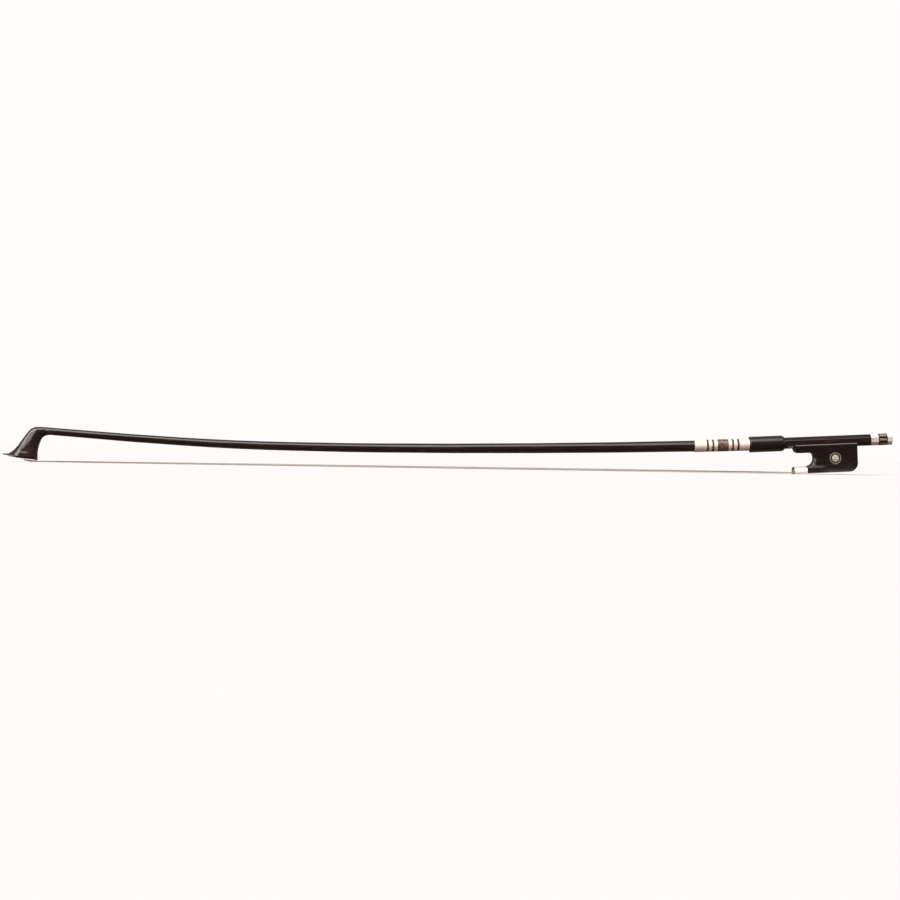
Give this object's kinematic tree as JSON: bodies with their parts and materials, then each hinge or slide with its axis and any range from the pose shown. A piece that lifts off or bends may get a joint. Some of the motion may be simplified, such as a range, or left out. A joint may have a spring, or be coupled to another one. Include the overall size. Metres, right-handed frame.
{
  "type": "violin bow",
  "caption": "Tightened violin-family bow: dark cambered stick with a pointed head, ribbon of hair, silver lapping, thumb grip, sliding frog with pearl eyes, and screw button.",
  "frame": {"origin": "centre of the bounding box on the floor, hair down", "axes": "+X from the head to the button, +Y away from the viewer of the picture, +Z from the hair up to the stick"},
  "size_m": [0.745, 0.0138, 0.0352],
  "materials": {
    "dark_wood": "varnished, nearly black, glossy",
    "ebony": "polished",
    "nickel_silver": "polished",
    "steel": "plain",
    "brass": "plain",
    "bone": "satin, white",
    "black_liner": "matt",
    "maple": "bare",
    "nacre": "mother of pearl, polished",
    "horsehair": "straight, satin",
    "waxed_thread": "waxed",
    "dark_thread": "waxed",
    "lapping_band": "glossy, purple-brown",
    "grip_leather": "smooth, near black"
  },
  "bodies": {
    "stick": {"stick": "dark_wood", "tip_liner": "black_liner", "tip_plate": "bone", "tip_plug": "maple", "tip_hair_knot": "waxed_thread", "tip_hair_end": "horsehair", "hair_ribbon": "horsehair", "lapping_wire_1": "nickel_silver", "lapping_wire_2": "nickel_silver", "lapping_wire_3": "nickel_silver", "lapping_wire_4": "nickel_silver", "lapping_wire_5": "nickel_silver", "lapping_wire_6": "nickel_silver", "lapping_ring_1": "dark_thread", "lapping_ring_2": "dark_thread", "lapping_ring_3": "dark_thread", "lapping_ring_4": "dark_thread", "lapping_band": "lapping_band", "thumb_grip": "grip_leather"},
    "frog": {"frog_body": "ebony", "frog_lining": "nickel_silver", "lining_pin_front": "steel", "lining_pin_rear": "steel", "ferrule": "nickel_silver", "ferrule_wedge": "maple", "slide_backing": "ebony", "slide_pearl": "nacre", "frog_hair_end": "horsehair", "frog_hair_knot": "waxed_thread", "frog_plug": "maple", "eye_ring_near": "nickel_silver", "eye_pearl_near": "nacre", "eye_ring_far": "nickel_silver", "eye_pearl_far": "nacre", "eyelet": "brass"},
    "screw": {"screw": "steel", "button_core": "ebony", "button_collar": "nickel_silver", "button_cap": "nickel_silver", "button_pin_near": "steel", "button_pin_far": "steel", "button_slab_1": "nacre", "button_slab_2": "nacre", "button_slab_3": "nacre", "button_slab_4": "nacre", "button_slab_5": "nacre", "button_slab_6": "nacre", "button_slab_7": "nacre", "button_slab_8": "nacre"}
  },
  "joints": [
    {"name": "screw_turn", "type": "hinge", "parent": "stick", "child": "screw", "pos_m": [0.35426, 0, 0.02944], "axis": [-0.9984, 0, -0.0558], "range_deg": [-2520, 1440]},
    {"name": "frog_slide", "type": "slide", "parent": "stick", "child": "frog", "axis": [0.9984, 0, 0.0558], "range_m": [-0.0049, 0.0028], "deforming": ["hair_ribbon"]}
  ],
  "couplings": [
    {"joint": "screw_turn", "follows": "frog_slide", "rad_per_m": 8976}
  ]
}
